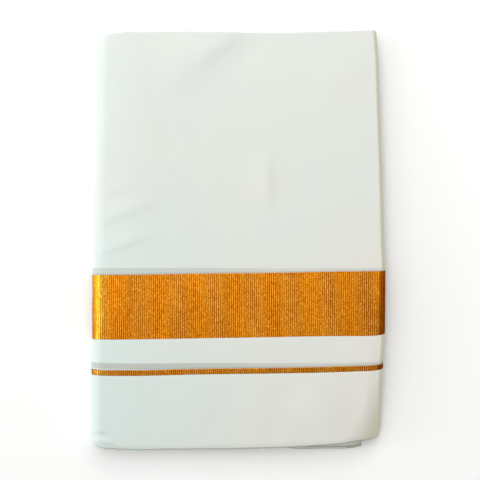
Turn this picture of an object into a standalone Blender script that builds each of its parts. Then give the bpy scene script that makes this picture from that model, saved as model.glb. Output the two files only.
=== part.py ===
"""A dhoti folded into a flat pack of eight leaves, lying on a level surface.

Units are metres. The pack's spine is at -X and its noses at +X. The selvedges end at -Y, which is
called the hem here, and the pressed folds are at +Y. +Z is up, and the pack rests on Z = 0.

The cloth is a strip of four plies, 1.8 m long, folded in half three times. Seen along Y it runs
  cut end, leaf 5, spine, leaf 4, upper nose, leaf 1, spine, leaf 8, lower nose, leaf 7, spine,
  leaf 2, inner nose, leaf 3, spine, leaf 6, cut end
with leaf 1 on top and leaf 8 underneath. Each leaf is one wall. The pack is drawn square first,
with x from the spine, v from the hem and z from the ground, and settle() then gives every point
its place in the pack as it lies.
"""

import bmesh
import bpy
import numpy as np

# The square pack
WIDTH = 0.2245
LENGTH = 0.320
HEIGHT = 0.018
LEAF = 0.0018  # four plies pressed together
GAP = 0.0003  # between neighbouring leaves, and at the seams
MIDDLE = HEIGHT / 2

# The folds of the outer leaf
UPPER_NOSE = 0.00435
LOWER_NOSE = 0.00225
SET_BACK = 0.014  # the lower half ends this far inside the upper half
UPPER_TUCK = 0.020  # how far leaf 4 is followed under the upper nose
LOWER_TUCK = 0.012  # how far leaf 7 is followed over the lower nose
LOWER_EDGE = WIDTH - SET_BACK

# The folds of the hidden leaves
INNER_SPINE = MIDDLE - LEAF - GAP
INNER_NOSE = UPPER_NOSE - LEAF - GAP
CORE_SPINE = LEAF + GAP
CUT_ENDS = {"leaf 5": LOWER_EDGE - 0.0022, "leaf 6": LOWER_EDGE - 0.0006}
HIDDEN_INSET = 0.0010  # leaves 2, 3, 6 and 7 end this far inside the outer one, along Y
CORE_INSET = 0.0017  # and leaves 4 and 5 this far
GROOVE = 0.004  # how deep the leaves stand apart at the edges
SKEW_ROOM = 0.014  # how much deeper where the upper half lies askew on the lower one
FILL_OVERLAP = 0.0001  # how far the fills between the leaves reach into each other

# The weave, as distances from the hem
LINE = (0.0570, 0.0612)
BAND = (0.0842, 0.1333)
RIB_PITCH = 0.0016
RIB_HEIGHT = 0.00028
LOWEST_RIB = -0.7  # the ribs end where the cloth's face turns down past this slope

# Meshing
EDGE_ROUND = 0.0006
TURN_STEPS = 8
NOSE_STEPS = 6
COLUMNS = (0.011, 0.030, 0.083, 0.144, 0.175, 0.194, 0.206, 0.2105, 0.2155)  # x of points on runs
ROWS = (0.003, 0.008, 0.018, 0.030, 0.043, LINE[0], *BAND, 0.152, 0.210, 0.267, 0.298, 0.314)
ROOM = 0.0015  # the least distance from an end to the next point

# The pack as it lies. The rows that run across it, at distances x from the spine, as Y.
ROW_NAMES = ("hem", "line", "band", "band_end", "folds")
ROW_AT = (0.0, LINE[0], BAND[0], BAND[1], LENGTH)
UPPER_HALF = (
    # x,     hem,     line,    band,    band_end, folds
    (0.000, -0.1556, -0.1031, -0.0760, -0.0270, 0.1570),
    (0.005, -0.1583, -0.1034, -0.0761, -0.0269, 0.1578),
    (0.011, -0.1599, -0.1037, -0.0761, -0.0268, 0.1588),
    (0.030, -0.1605, -0.1037, -0.0759, -0.0266, 0.1593),
    (0.083, -0.1601, -0.1026, -0.0750, -0.0257, 0.1592),
    (0.144, -0.1590, -0.1018, -0.0740, -0.0250, 0.1583),
    (0.175, -0.1571, -0.1012, -0.0734, -0.0243, 0.1591),
    (0.194, -0.1558, -0.1006, -0.0733, -0.0240, 0.1597),
    (0.206, -0.1540, -0.1002, -0.0733, -0.0239, 0.1600),
    (0.215, -0.1521, -0.0999, -0.0731, -0.0238, 0.1604),
    (0.2245, -0.1478, -0.0985, -0.0718, -0.0236, 0.1606),
)
LOWER_HALF = (
    # x,     hem,     line,    band,    band_end, folds
    (0.000, -0.1556, -0.1031, -0.0760, -0.0270, 0.1570),
    (0.005, -0.1583, -0.1034, -0.0761, -0.0269, 0.1578),
    (0.011, -0.1599, -0.1037, -0.0761, -0.0268, 0.1585),
    (0.030, -0.1603, -0.1037, -0.0762, -0.0268, 0.1586),
    (0.144, -0.1598, -0.1036, -0.0762, -0.0270, 0.1580),
    (0.194, -0.1598, -0.1036, -0.0762, -0.0270, 0.1580),
    (0.206, -0.1590, -0.1034, -0.0762, -0.0270, 0.1577),
    (0.2105, -0.1575, -0.1032, -0.0762, -0.0270, 0.1572),
)
# The two sides, at distances v from the hem, as X.
SIDES = (
    # v,     spine,   nose
    (0.000, -0.1075, 0.1066),
    (0.003, -0.1108, 0.1078),
    (0.008, -0.1129, 0.1088),
    (0.030, -0.1128, 0.1099),
    (0.057, -0.1125, 0.1109),
    (0.084, -0.1121, 0.1121),
    (0.133, -0.1119, 0.1126),
    (0.152, -0.1108, 0.1119),
    (0.210, -0.1099, 0.1104),
    (0.267, -0.1084, 0.1085),
    (0.298, -0.1082, 0.1075),
    (0.314, -0.1064, 0.1064),
    (0.320, -0.1035, 0.1058),
)
# How full the pack stands, as a share of its height, at distances v from the hem.
FULLNESS = (
    # v,   share
    (0.00, 0.93),
    (0.03, 0.98),
    (0.09, 1.00),
    (0.25, 1.00),
    (0.32, 0.96),
)
DROOP = 0.0036  # how far the upper half's free corner sinks
DROOP_FROM_X = LOWER_EDGE
DROOP_TO_V = 0.120

COLOURS = {
    # name: (red, green, blue) linear, roughness, metallic
    "cotton": ((0.72, 0.75, 0.70), 0.85, 0.0),
    "zari": ((0.55, 0.30, 0.055), 0.42, 0.85),
}


class FoldPath:
    """The line of a leaf's outer face seen along Y, made of straight runs and half turns."""

    def __init__(self, x, z, heading):
        self.x, self.z, self.heading = x, z, heading
        self.legs = []

    def run(self, to_x):
        self.legs.append((abs(to_x - self.x), self.x, self.z, self.heading, 0.0))
        self.x = to_x
        return self

    def half_turn(self, radius, left=True):
        signed = radius if left else -radius
        self.legs.append((np.pi * radius, self.x, self.z, self.heading, signed))
        self.z += 2 * self.heading * signed
        self.heading = -self.heading
        return self

    def starts(self):
        """The distance along the path at which each leg starts, and the whole length."""
        return np.concatenate([[0.0], np.cumsum([leg[0] for leg in self.legs])])

    def at(self, distance):
        """(x, z) there, and the unit normal on the right of the way the path runs."""
        starts = self.starts()
        index = min(int(np.searchsorted(starts, distance, "right")) - 1, len(self.legs) - 1)
        length, x, z, heading, radius = self.legs[index]
        along = min(distance - starts[index], length)
        if radius == 0.0:
            return (x + heading * along, z), (0.0, -heading)
        angle = along / abs(radius)
        point = (
            x + heading * abs(radius) * np.sin(angle),
            z + heading * radius * (1 - np.cos(angle)),
        )
        return point, (heading * np.sign(radius) * np.sin(angle), -heading * np.cos(angle))

    def stops(self, steps_by_turn):
        """Distances along the path at which the wall has points: COLUMNS on runs, evenly on turns."""
        found = []
        turns = iter(steps_by_turn)
        for start, (length, x, _, heading, radius) in zip(self.starts(), self.legs):
            if radius == 0.0:
                along = sorted(heading * (at - x) for at in COLUMNS)
                found += [start, *(start + a for a in along if ROOM < a < length - ROOM)]
            else:
                found += list(start + np.linspace(0, length, next(turns), endpoint=False))
        return found + [self.starts()[-1]]


def outer_path():
    path = FoldPath(WIDTH - UPPER_TUCK, HEIGHT - 2 * UPPER_NOSE, 1)
    path.run(WIDTH - UPPER_NOSE).half_turn(UPPER_NOSE)
    path.run(MIDDLE).half_turn(MIDDLE)
    path.run(LOWER_EDGE - LOWER_NOSE).half_turn(LOWER_NOSE)
    return path.run(LOWER_EDGE - LOWER_TUCK)


def inner_path():
    """Leaf 7 where the outer leaf's tuck ends, then leaves 2, 3 and 6."""
    path = FoldPath(LOWER_EDGE - LOWER_TUCK - GAP, MIDDLE - INNER_SPINE, -1)
    path.run(MIDDLE).half_turn(INNER_SPINE, left=False)
    path.run(WIDTH - UPPER_NOSE).half_turn(INNER_NOSE, left=False)
    path.run(MIDDLE).half_turn(INNER_SPINE - 2 * INNER_NOSE)
    return path.run(CUT_ENDS["leaf 6"])


def core_path():
    """Leaf 5 from its cut end, then leaf 4 as far as the outer leaf's tuck."""
    path = FoldPath(CUT_ENDS["leaf 5"], MIDDLE - CORE_SPINE, -1)
    path.run(MIDDLE).half_turn(CORE_SPINE, left=False)
    return path.run(WIDTH - UPPER_TUCK - GAP)


def column(table, index):
    return [row[index] for row in table]


def smooth_step(low, high, value):
    t = np.clip((value - low) / (high - low), 0, 1)
    return t * t * (3 - 2 * t)


def settle(x, v, z):
    """The place in the pack as it lies of a point of the square pack."""
    upper = z > MIDDLE
    half = UPPER_HALF if upper else LOWER_HALF
    rows = [np.interp(x, column(half, 0), column(half, i + 1)) for i in range(len(ROW_NAMES))]
    y = np.interp(v, ROW_AT, rows)
    spine, nose = (np.interp(v, column(SIDES, 0), column(SIDES, i)) for i in (1, 2))
    full = np.interp(v, column(FULLNESS, 0), column(FULLNESS, 1))
    hangs = smooth_step(DROOP_FROM_X, WIDTH, x) * (1 - smooth_step(0, DROOP_TO_V, v))
    return spine + (nose - spine) * x / WIDTH, y, z * full - (DROOP * hangs if upper else 0.0)


def settle_mesh(mesh):
    for vertex in mesh.vertices:
        vertex.co = settle(*vertex.co)


def rows_between(first, last):
    """Distances from the hem at which the wall has points, between first and last."""
    return [first, *(row for row in ROWS if first + ROOM < row < last - ROOM), last]


def leaf_sheet(name, path, stops, rows, outside_is_right):
    """The outer face of a leaf: a grid laid along the path, with its faces towards the outside."""
    mesh = bpy.data.meshes.new(name)
    bm = bmesh.new()
    bmesh.ops.create_grid(bm, x_segments=len(stops) - 1, y_segments=len(rows) - 1, size=1)
    places = [path.at(s)[0] for s in stops]
    for vert in bm.verts:
        i = round((vert.co.x + 1) / 2 * (len(stops) - 1))
        j = round((vert.co.y + 1) / 2 * (len(rows) - 1))
        vert.co = (places[i][0], rows[j], places[i][1])
    if outside_is_right:
        bmesh.ops.reverse_faces(bm, faces=bm.faces)
    bm.to_mesh(mesh)
    bm.free()
    return bpy.data.objects.new(name, mesh)


def thicken(obj, rounded=True):
    solidify = obj.modifiers.new("Leaf", "SOLIDIFY")
    solidify.thickness = LEAF
    solidify.offset = -1
    solidify.use_even_offset = True
    if rounded:
        bevel = obj.modifiers.new("Edges", "BEVEL")
        bevel.width = EDGE_ROUND
        bevel.segments = 2
        bevel.limit_method = "ANGLE"
        bevel.angle_limit = np.radians(60)


def keep_evaluated(obj):
    """Replaces the object's mesh by the one that its modifiers make."""
    graph = bpy.context.evaluated_depsgraph_get()
    mesh = bpy.data.meshes.new_from_object(obj.evaluated_get(graph))
    obj.modifiers.clear()
    old, obj.data = obj.data, mesh
    bpy.data.meshes.remove(old)


def outer_piece(name, first, last, parts):
    """The stretch of the outer leaf between two distances from the hem."""
    path = outer_path()
    stops = path.stops((NOSE_STEPS, TURN_STEPS, NOSE_STEPS))
    obj = leaf_sheet(name, path, stops, rows_between(first, last), outside_is_right=True)
    parts.objects.link(obj)
    thicken(obj)
    keep_evaluated(obj)
    settle_mesh(obj.data)
    return obj


def ribbed_piece(name, first, last, parts):
    """A stretch of the outer leaf with ribs along Y, except in the tucks and where it faces down."""
    path = outer_path()
    starts = path.starts()
    plain = path.stops((1, 1, NOSE_STEPS))
    ribbed_from, ribbed_to = starts[1], starts[4]
    steps = 2 * round((ribbed_to - ribbed_from) / RIB_PITCH)
    before = [s for s in plain if s < ribbed_from]
    after = [s for s in plain if s > ribbed_to]
    stops = [*before, *np.linspace(ribbed_from, ribbed_to, steps + 1), *after]
    obj = leaf_sheet(name, path, stops, [first, last], outside_is_right=True)
    crests = {}
    for i in range(len(before) + 1, len(before) + steps, 2):
        (x, z), (nx, nz) = path.at(stops[i])
        if nz > LOWEST_RIB:
            crests[round(x, 6), round(z, 6)] = (nx * RIB_HEIGHT, 0, nz * RIB_HEIGHT)
    outer_points = len(obj.data.vertices)
    parts.objects.link(obj)
    thicken(obj, rounded=False)
    keep_evaluated(obj)
    for vertex in obj.data.vertices[:outer_points]:
        raised = crests.get((round(vertex.co.x, 6), round(vertex.co.z, 6)))
        if raised:
            vertex.co = [a + b for a, b in zip(vertex.co, raised)]
    settle_mesh(obj.data)
    return obj


def block(name, low, high, helpers):
    """A box between two corners, which fills the hidden leaves away from their edges."""
    bpy.ops.mesh.primitive_cube_add(size=1)
    obj = bpy.context.active_object
    obj.name = name
    for collection in obj.users_collection:
        collection.objects.unlink(obj)
    helpers.objects.link(obj)
    for vertex in obj.data.vertices:
        vertex.co = [a + (b - a) * (c + 0.5) for a, b, c in zip(low, high, vertex.co)]
    return obj


def round_core(name, helpers):
    """A cylinder along Y which fills the nested turns at the spine."""
    mesh = bpy.data.meshes.new(name)
    bm = bmesh.new()
    radius, depth = INNER_SPINE - LEAF / 2, LENGTH - 2 * (HIDDEN_INSET + GROOVE)
    bmesh.ops.create_cone(
        bm, cap_ends=True, segments=2 * TURN_STEPS, radius1=radius, radius2=radius, depth=depth
    )
    for vert in bm.verts:
        vert.co = (MIDDLE + vert.co.x, LENGTH / 2 - vert.co.z, MIDDLE + vert.co.y)
    bm.to_mesh(mesh)
    bm.free()
    obj = bpy.data.objects.new(name, mesh)
    helpers.objects.link(obj)
    return obj


def hidden_leaves(parts, helpers):
    """Leaves 2 to 7 as one solid: leaf walls that stand apart at the edges, filled inside."""
    rows = rows_between(HIDDEN_INSET, LENGTH - HIDDEN_INSET)
    outer = inner_path()
    stops = outer.stops((TURN_STEPS, NOSE_STEPS, TURN_STEPS))
    whole = leaf_sheet("hidden_leaves", outer, stops, rows, outside_is_right=False)
    parts.objects.link(whole)
    thicken(whole)

    core = core_path()
    rows = rows_between(CORE_INSET, LENGTH - CORE_INSET)
    leaves_4_5 = leaf_sheet(
        "leaves_4_5", core, core.stops((TURN_STEPS,)), rows, outside_is_right=False
    )
    helpers.objects.link(leaves_4_5)
    thicken(leaves_4_5)

    half = LEAF / 2
    leaf_6_top = MIDDLE - (INNER_SPINE - 2 * INNER_NOSE)
    heights = {
        "leaf 2": MIDDLE + INNER_SPINE - half,
        "leaf 3": HEIGHT - leaf_6_top + half,
        "leaf 4": MIDDLE + CORE_SPINE - half,
        "leaf 5": MIDDLE - CORE_SPINE + half,
        "leaf 6": leaf_6_top - half,
        "leaf 7": MIDDLE - INNER_SPINE + half,
    }
    fills = (
        # from,    to,       up to x,                              in from the ends
        ("leaf 3", "leaf 2", WIDTH - UPPER_NOSE, HIDDEN_INSET + GROOVE),
        ("leaf 4", "leaf 3", WIDTH - UPPER_TUCK - GROOVE, CORE_INSET + GROOVE),
        ("leaf 5", "leaf 4", WIDTH - UPPER_TUCK - 2 * GROOVE, CORE_INSET + GROOVE + SKEW_ROOM),
        ("leaf 6", "leaf 5", CUT_ENDS["leaf 5"] - GROOVE, CORE_INSET + GROOVE),
        ("leaf 7", "leaf 6", LOWER_EDGE - LOWER_TUCK - GROOVE, HIDDEN_INSET + GROOVE),
    )
    round_core("round_core", helpers)
    for low, high, to_x, ends in fills:
        block(
            f"fill_{high[-1]}_{low[-1]}",
            (MIDDLE, ends, heights[low] - FILL_OVERLAP),
            (to_x, LENGTH - ends, heights[high] + FILL_OVERLAP),
            helpers,
        )
    join = whole.modifiers.new("Join", "BOOLEAN")
    join.operation = "UNION"
    join.operand_type = "COLLECTION"
    join.collection = helpers
    join.solver = "EXACT"
    for helper in helpers.objects:
        helper.hide_render = True
        helper.display_type = "WIRE"
    keep_evaluated(whole)
    settle_mesh(whole.data)
    return whole


def material(name):
    colour, roughness, metallic = COLOURS[name]
    made = bpy.data.materials.new(name)
    made.use_nodes = True
    shader = made.node_tree.nodes["Principled BSDF"]
    shader.inputs["Base Color"].default_value = (*colour, 1)
    shader.inputs["Roughness"].default_value = roughness
    shader.inputs["Metallic"].default_value = metallic
    made.diffuse_color = (*colour, 1)
    return made


def finish_piece(obj, finish):
    obj.data.materials.clear()
    obj.data.materials.append(finish)
    obj.data.shade_smooth()
    obj.data.set_sharp_from_angle(angle=np.radians(35))


def main():
    for obj in list(bpy.data.objects):
        bpy.data.objects.remove(obj)
    parts = bpy.data.collections.new("Dhoti cloth")
    helpers = bpy.data.collections.new("Helpers")
    for collection in (parts, helpers):
        bpy.context.scene.collection.children.link(collection)
    cotton, zari = material("cotton"), material("zari")

    finish_piece(outer_piece("hem_cloth", 0.0, LINE[0], parts), cotton)
    finish_piece(outer_piece("zari_line", LINE[0] + GAP, LINE[1], parts), zari)
    finish_piece(outer_piece("border_cloth", LINE[1] + GAP, BAND[0], parts), cotton)
    finish_piece(ribbed_piece("zari_band", BAND[0] + GAP, BAND[1], parts), zari)
    finish_piece(outer_piece("body_cloth", BAND[1] + GAP, LENGTH, parts), cotton)
    finish_piece(hidden_leaves(parts, helpers), cotton)


main()
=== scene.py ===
from functools import partial

import bmesh
import bpy
import numpy as np
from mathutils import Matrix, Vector


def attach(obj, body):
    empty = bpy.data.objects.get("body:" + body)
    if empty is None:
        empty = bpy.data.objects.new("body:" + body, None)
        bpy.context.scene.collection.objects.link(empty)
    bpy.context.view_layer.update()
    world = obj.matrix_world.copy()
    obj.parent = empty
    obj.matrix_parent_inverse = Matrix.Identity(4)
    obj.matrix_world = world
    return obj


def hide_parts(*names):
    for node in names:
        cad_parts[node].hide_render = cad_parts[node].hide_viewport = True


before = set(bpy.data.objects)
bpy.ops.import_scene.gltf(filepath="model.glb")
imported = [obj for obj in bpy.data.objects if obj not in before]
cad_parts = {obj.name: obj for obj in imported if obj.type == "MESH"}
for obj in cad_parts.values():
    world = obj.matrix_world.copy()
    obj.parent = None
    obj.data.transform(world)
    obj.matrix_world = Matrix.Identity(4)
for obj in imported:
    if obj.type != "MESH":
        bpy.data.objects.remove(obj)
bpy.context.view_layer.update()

# A dhoti folded in quarters across its width and in eighths along its length, lying on its
# underside. Metres, except in the tables of creases. The pack is worked out square first: x from
# the spine, v from the hem and z from the ground. settle() then gives each point its place in the
# pack as it lies, with the spine at -X, the noses at +X, the hem at -Y and the pressed folds at +Y.

# The square pack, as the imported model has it
WIDTH = 0.2245
LENGTH = 0.320
HEIGHT = 0.018
MIDDLE = HEIGHT / 2
LEAF = 0.0018
LEAF_GAP = 0.0003

# The folds along the cloth, as radii of the right side of the cloth
UPPER_NOSE = 0.00435
LOWER_NOSE = 0.00225
SPINE_4_5 = LEAF_GAP
SPINE_7_2 = MIDDLE - 2 * LEAF - LEAF_GAP
SPINE_3_6 = 0.0042
INNER_NOSE = 0.00045
SET_BACK = 0.014
LOWER_EDGE = WIDTH - SET_BACK
LOWER_TUCK = 0.012
UPPER_TUCK = 0.020
CUT_END_5 = LOWER_EDGE - 0.0022
CUT_END_6 = LOWER_EDGE - 0.0006
LEAF_7_SETTLES = 0.0006  # how far leaf 7 sinks from the lower nose to where its run starts

# The plies of a leaf, as depths of their middles below the right side of the leaf
CLOTH = 0.0003
PLY_PITCH = (LEAF - CLOTH) / 3
PLY = [CLOTH / 2 + i * PLY_PITCH for i in range(4)]

# The weave, as distances from the selvedge
LINE = (0.0570, 0.0612)
BAND = (0.0842, 0.1333)
RIB_PITCH = 0.0016
RIB_HEIGHT = 0.00016
RIB_SINK = 0.64 * RIB_HEIGHT  # so that the ribs lie half above and half below the plain weave
RIB_TAPER = 0.0004  # the ribs run out into the plain weave over this at both ends

# The pack as it lies. The rows that run across it, at distances x from the spine, as Y.
ROW_AT = np.array((0.0, LINE[0], BAND[0], BAND[1], LENGTH))
UPPER_HALF = np.array((
    # x,     hem,     line,    band,    band_end, folds
    (0.000, -0.1566, -0.1031, -0.0760, -0.0270, 0.1570),
    (0.005, -0.1586, -0.1034, -0.0761, -0.0269, 0.1580),
    (0.011, -0.1599, -0.1037, -0.0761, -0.0268, 0.1588),
    (0.030, -0.1606, -0.1037, -0.0759, -0.0266, 0.1593),
    (0.083, -0.1601, -0.1026, -0.0750, -0.0257, 0.1592),
    (0.144, -0.1590, -0.1018, -0.0740, -0.0250, 0.1583),
    (0.175, -0.1573, -0.1012, -0.0734, -0.0243, 0.1591),
    (0.194, -0.1559, -0.1006, -0.0733, -0.0240, 0.1597),
    (0.206, -0.1543, -0.1002, -0.0733, -0.0239, 0.1600),
    (0.215, -0.1535, -0.0999, -0.0731, -0.0238, 0.1604),
    (0.2245, -0.1506, -0.0985, -0.0718, -0.0236, 0.1606),
))
LOWER_HALF = np.array((
    # x,     hem,     line,    band,    band_end, folds
    *UPPER_HALF[:2],
    (0.011, -0.1599, -0.1037, -0.0761, -0.0268, 0.1585),
    (0.030, -0.1604, -0.1037, -0.0762, -0.0268, 0.1586),
    (0.144, -0.1610, -0.1036, -0.0762, -0.0270, 0.1580),
    (0.164, -0.1624, -0.1036, -0.0762, -0.0270, 0.1580),
    (0.194, -0.1626, -0.1036, -0.0762, -0.0270, 0.1580),
    (0.206, -0.1616, -0.1034, -0.0762, -0.0270, 0.1577),
    (0.2105, -0.1602, -0.1032, -0.0762, -0.0270, 0.1572),
))
# The two sides, at distances v from the hem, as X.
SIDES = np.array((
    # v,     spine,   nose
    (0.000, -0.1118, 0.1088),
    (0.003, -0.1130, 0.1095),
    (0.008, -0.1136, 0.1101),
    (0.030, -0.1134, 0.1108),
    (0.057, -0.1132, 0.1115),
    (0.084, -0.1130, 0.1129),
    (0.133, -0.1128, 0.1132),
    (0.152, -0.1119, 0.1125),
    (0.210, -0.1109, 0.1110),
    (0.267, -0.1095, 0.1090),
    (0.298, -0.1089, 0.1079),
    (0.314, -0.1078, 0.1068),
    (0.320, -0.1061, 0.1062),
))
# How full the pack stands, as a share of its height, at distances v from the hem.
FULLNESS = np.array((
    # v,   share
    (0.0000, 0.850),
    (0.0015, 0.902),
    (0.0040, 0.940),
    (0.0100, 0.955),
    (0.0300, 0.980),
    (0.0900, 1.000),
    (0.2500, 1.000),
    (0.3050, 0.980),
    (0.3200, 0.955),
))
# The top leans down to the spine by these shares of the height, near the hem and near the folds
SPINE_SLACK = (0.080, 0.230)
SPINE_SLACK_TO = 0.042  # how far from the spine it starts to lean
SPINE_SLACK_GROWS = (0.05, 0.13)  # the distances from the hem between which the share grows
# The free corner sags beyond a line across it. The line meets the nose at CORNER_FROM_V from the
# hem, less a little, and looks out along CORNER_OUT.
CORNER_SLACK = 0.44  # of the height
CORNER_OUT = (0.90, -0.43)
CORNER_FROM_V = 0.052
CORNER_EASE = 0.003
CORNER_REACH = 0.026
CORNER_BEND = 1.35  # how gently the sag starts
DROOP = 0.0026  # how far the upper half sinks where nothing lies under it
DROOP_TO_V = 0.120
HEM_SET_IN = 0.0034  # how far hidden leaves lie in from the hem at most, each by its own amount
HEM_SET_IN_TO_V = 0.018
SET_IN_GROWS = (0.008, 0.15)  # the distances from the spine between which it grows
SET_IN_ENDS = (0.212, 0.220)  # and between which it ends at the nose
SPINE_WAVER = 0.0004  # the spine isn't quite straight
SPINE_WAVER_REACH = 0.006
# The upper nose is pressed: flat above, a tight bend, and a side that slants steeply out and down
SLANT_TOP = 0.34  # where the slant starts at the top, in radii of the nose in from its end
SLANT_FOOT = 0.70  # and how far below the nose's middle it ends
BEND = 14  # how tight the bends are

# Creases and swells in millimetres, from one end to the other in the frame's X and Y. The widths
# are how far each falls off to the left and to the right of that line: where they differ, the
# narrow side is steep.
TOP_RELIEF = (
    # from x, y, to x, y, left, right, rise
    (1, 160, -29, 139.5, 7, 20, 1.9),  # slack crease down from the folds
    (-22, 144, -56, 121, 12, 22, 1.5),
    (20, 152, -10, 129, 10, 7, -0.5),
    (20.6, 62, 22.2, 26, 6, 9.5, 1),  # small dent in the middle
    (29, 50, 30, 26, 3, 3, -0.12),
    (-111, 12, -64, 30, 8, 4.2, 0.95),  # pulls out of the spine
    (-111, -12, -70, 3.5, 7, 3.2, 1),
    (-106, -19, -85, -12, 3, 2.2, 0.3),
    (-109, 34, -78, 44, 6, 4, 0.45),
    (-106, 100, -60, 86, 10, 8, 0.45),
    (45, -122, 80, -136, 19, 13, 1.3),  # swell before the free corner
    (30, -136, 20, -155, 7, 7, -0.4),
    (-110, -152.8, -95, -155, 2.6, 1.5, 1.7),  # puckers at the hem corner
    (-111, -149, -102, -150.8, 1.4, 1.4, -1.3),
    (-111.5, -145.5, -103, -147.8, 2.6, 1.4, 1),
    (-100, -155.6, -86, -158.2, 1.6, 1.1, 0.9),
    (-60, -156, -30, -153, 4, 3, -0.4),
    (-20, -120, 10, -150, 12, 12, -0.5),
    (75, -85, 110, -93, 6, 6, 0.5),
    (60, 118, 108, 140, 10, 8, 0.45),
    (-45, -20, -38, -80, 12, 9, 0.22),  # slow waves along the zari
    (10, -18, 14, -82, 10, 12, -0.2),
    (64, -16, 60, -80, 11, 9, 0.2),
)
# The underside bears the pack, so its creases are only troughs that rise off the ground
UNDER_RELIEF = (
    # from x, y, to x, y, left, right, rise
    (-90, 140, -20, 95, 5, 5, 0.55),
    (30, 156, 55, 110, 4.5, 3, 0.45),
    (-100, -10, -50, 16, 4, 6, 0.45),
    (-60, -156, -30, -120, 5, 5, 0.5),
    (50, -40, 90, -10, 4.5, 3, 0.4),
    (0, 40, 20, -10, 3.5, 5.5, 0.4),
    (-105, -120, -70, -132, 4, 4, 0.45),
)

# Meshing
COLUMN = 0.0018
UNDER_COLUMN = 0.0036
ROW = 0.0018
HEM_FINE_TO = 0.0250  # rows are half as far apart from the hem to here, for its puckers
HEM_CLOSE = 0.0004  # the hem's first row of points in from its edge
PLY_TURN = 0.00075  # the radius of the outermost ply's turn at the pressed folds
TUCKED_ROWS = np.array((0.003, 0.007, 0.012))  # rows of points on from that turn
PLY_COLUMN = 0.0030
PLY_REACH = 0.0140  # how far the plies go in from the pack's edges, to the solid inside


class FoldPath:
    """A line that a fold follows, made of straight runs and half turns, seen square on."""

    def __init__(self, x, z, heading):
        self.x, self.z, self.heading = x, z, heading
        self.legs = []

    def run(self, to_x, rise=0.0):
        length = float(np.hypot(to_x - self.x, rise))
        self.legs.append((length, self.x, self.z, self.heading, 0.0, rise / length))
        self.x = to_x
        self.z += rise
        return self

    def half_turn(self, radius, left=True):
        signed = radius if left else -radius
        self.legs.append((np.pi * radius, self.x, self.z, self.heading, signed, 0.0))
        self.z += 2 * self.heading * signed
        self.heading = -self.heading
        return self

    def starts(self):
        """The distance along the path at which each leg starts, and the whole length."""
        return np.concatenate([[0.0], np.cumsum([leg[0] for leg in self.legs])])

    def at(self, distance):
        """x, z, and the parts of the unit normal on the right of the way the path runs."""
        starts = self.starts()
        distance = np.asarray(distance, float)
        index = np.clip(np.searchsorted(starts, distance, "right") - 1, 0, len(self.legs) - 1)
        legs = np.array(self.legs)[index]
        x, z, heading, radius, slope = np.moveaxis(legs, -1, 0)[1:]
        along = distance - starts[index]
        size = np.where(radius == 0, 1, np.abs(radius))
        angle = along / size
        straight = radius == 0
        level = np.sqrt(1 - slope**2)
        turned_x = x + heading * size * np.sin(angle)
        turned_z = z + heading * radius * (1 - np.cos(angle))
        found_x = np.where(straight, x + heading * along * level, turned_x)
        found_z = np.where(straight, z + slope * along, turned_z)
        normal_x = np.where(straight, slope, heading * np.sign(radius) * np.sin(angle))
        normal_z = np.where(straight, -heading * level, -heading * np.cos(angle))
        return found_x, found_z, normal_x, normal_z

    def stops(self, spacings, turn_steps):
        """Distances for a mesh: a spacing for each run and a number of steps for each half turn."""
        found = []
        spacing, steps = iter(spacings), iter(turn_steps)
        for start, leg in zip(self.starts(), self.legs):
            count = next(steps) if leg[4] else max(2, round(leg[0] / next(spacing)))
            found.append(start + np.linspace(0, leg[0], count, endpoint=False))
        return np.concatenate([*found, [self.starts()[-1]]])


def cloth_path():
    """The right side of the whole strip of four plies, from one cut end to the other."""
    path = FoldPath(CUT_END_5, MIDDLE - LEAF_GAP, -1)
    path.run(MIDDLE).half_turn(SPINE_4_5, left=False)
    path.run(WIDTH - UPPER_NOSE).half_turn(UPPER_NOSE)
    path.run(MIDDLE).half_turn(MIDDLE)
    path.run(LOWER_EDGE - LOWER_NOSE).half_turn(LOWER_NOSE)
    path.run(LOWER_EDGE - LOWER_TUCK, -LEAF_7_SETTLES)
    path.run(MIDDLE).half_turn(SPINE_7_2, left=False)
    path.run(WIDTH - UPPER_NOSE).half_turn(INNER_NOSE, left=False)
    path.run(MIDDLE).half_turn(SPINE_3_6)
    return path.run(CUT_END_6)


STRIP = cloth_path()
LEGS = STRIP.starts()
TUCK_IN = LEGS[3] - (UPPER_TUCK - UPPER_NOSE)  # where the outer leaf starts, under the upper nose
TUCK_OUT = LEGS[9]  # and where it ends, over the lower nose
OUTER_LENGTH = TUCK_OUT - TUCK_IN


def smooth_through(at, table, column=1):
    """A smooth line through a table's points, from its first column to another, that doesn't
    overshoot them."""
    places, values = table[:, 0], table[:, column]
    step = np.diff(places)
    slope = np.diff(values) / step
    product, total = slope[1:] * slope[:-1], slope[1:] + slope[:-1]
    inner = np.where(product > 0, 2 * product / np.where(total == 0, 1, total), 0.0)
    tangent = np.concatenate([[slope[0]], inner, [slope[-1]]])
    at = np.clip(at, places[0], places[-1])
    i = np.clip(np.searchsorted(places, at, "right") - 1, 0, len(step) - 1)
    t = (at - places[i]) / step[i]
    return (
        (2 * t**3 - 3 * t**2 + 1) * values[i]
        + (t**3 - 2 * t**2 + t) * step[i] * tangent[i]
        + (3 * t**2 - 2 * t**3) * values[i + 1]
        + (t**3 - t**2) * step[i] * tangent[i + 1]
    )


def smooth_step(low, high, value):
    t = np.clip((value - low) / (high - low), 0, 1)
    return t * t * (3 - 2 * t)


def drift(at, spacing, seed):
    """A slow wander between -1 and 1, with a new value every spacing."""
    values = np.random.default_rng(seed).uniform(-1, 1, 1200)
    t = np.asarray(at, float) / spacing + 40
    i = np.floor(t).astype(int)
    part = t - i
    part = part * part * (3 - 2 * part)
    return values[i % len(values)] * (1 - part) + values[(i + 1) % len(values)] * part


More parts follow.
